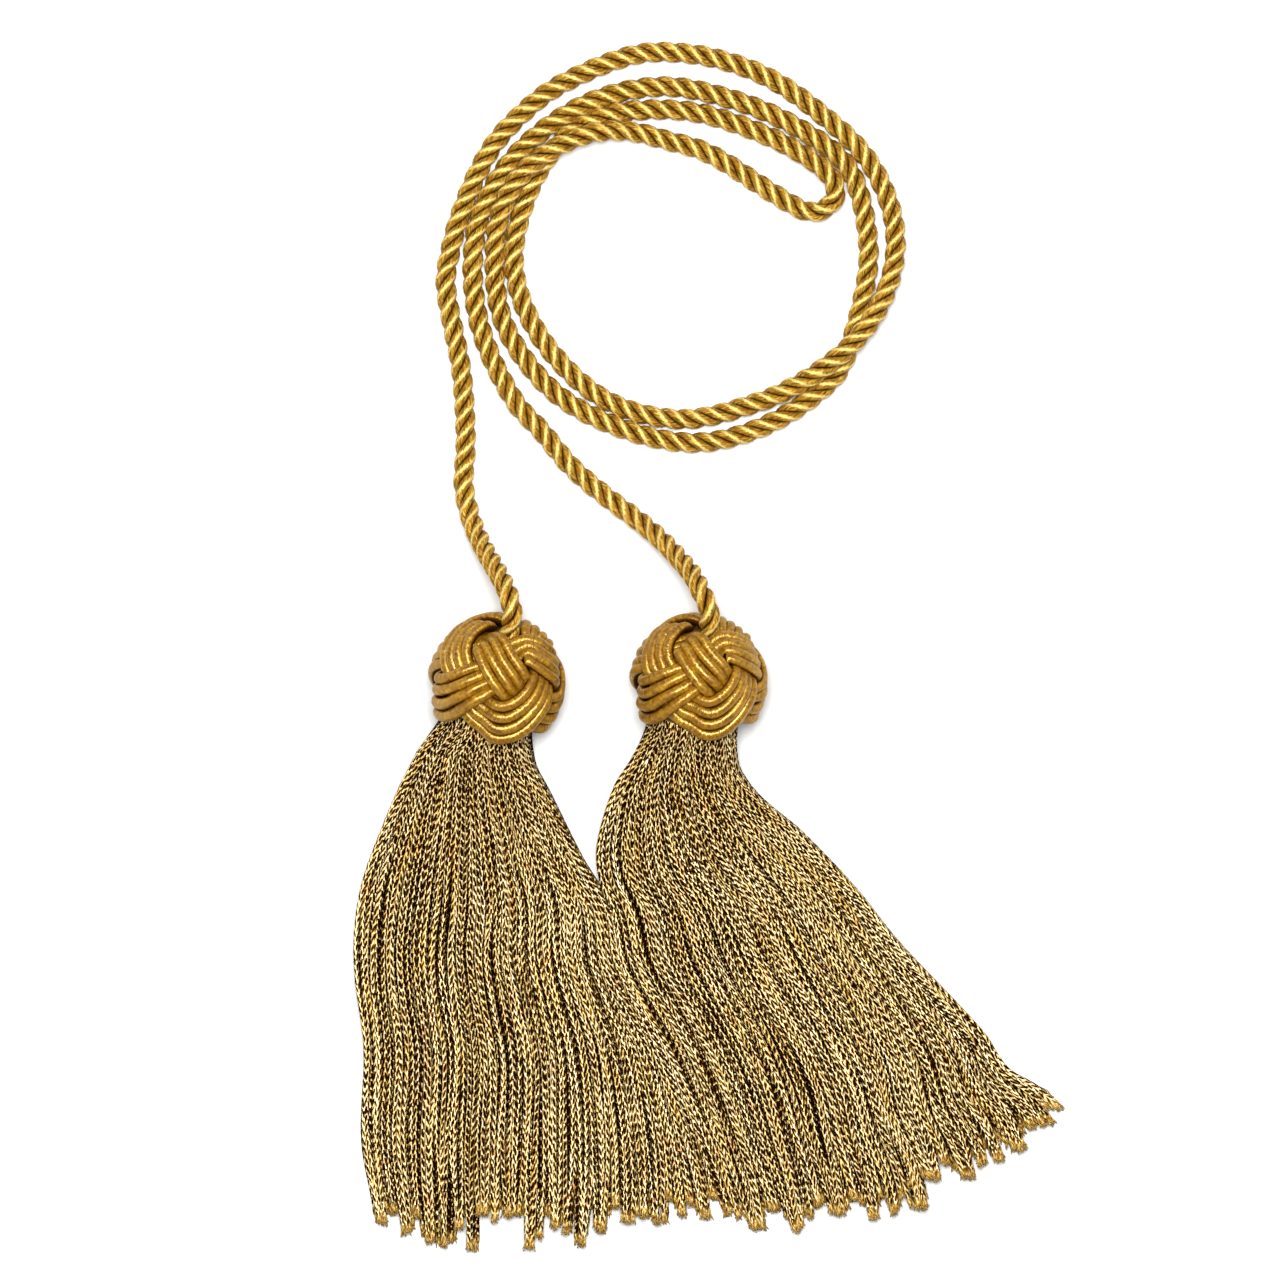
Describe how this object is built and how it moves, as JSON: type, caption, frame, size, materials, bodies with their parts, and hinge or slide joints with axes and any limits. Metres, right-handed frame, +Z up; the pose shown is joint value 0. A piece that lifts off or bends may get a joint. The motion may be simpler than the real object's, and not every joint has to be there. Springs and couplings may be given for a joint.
{
  "type": "curtain tieback with two tassels",
  "caption": "Twisted cord curtain tieback lying in a loose hank, with a round knotted head and a spread yarn skirt at each end.",
  "frame": {"origin": "on the surface the tieback lies on, below the middle of the box round the two tassels without the cord", "axes": "+Z up from the surface; the skirts' hems towards -Y and the cord's hank towards +Y; +X to the right, from the left tassel to the right one"},
  "size_m": [0.2144, 0.3617, 0.0409],
  "materials": {
    "cord": "satin rayon, twisted",
    "gimp": "satin rayon, wound",
    "yarn": "flecked chainette yarn"
  },
  "bodies": {
    "root": {"cord": "cord", "head_left": "gimp", "head_right": "gimp", "skirt_left": "yarn", "skirt_right": "yarn"}
  },
  "joints": []
}
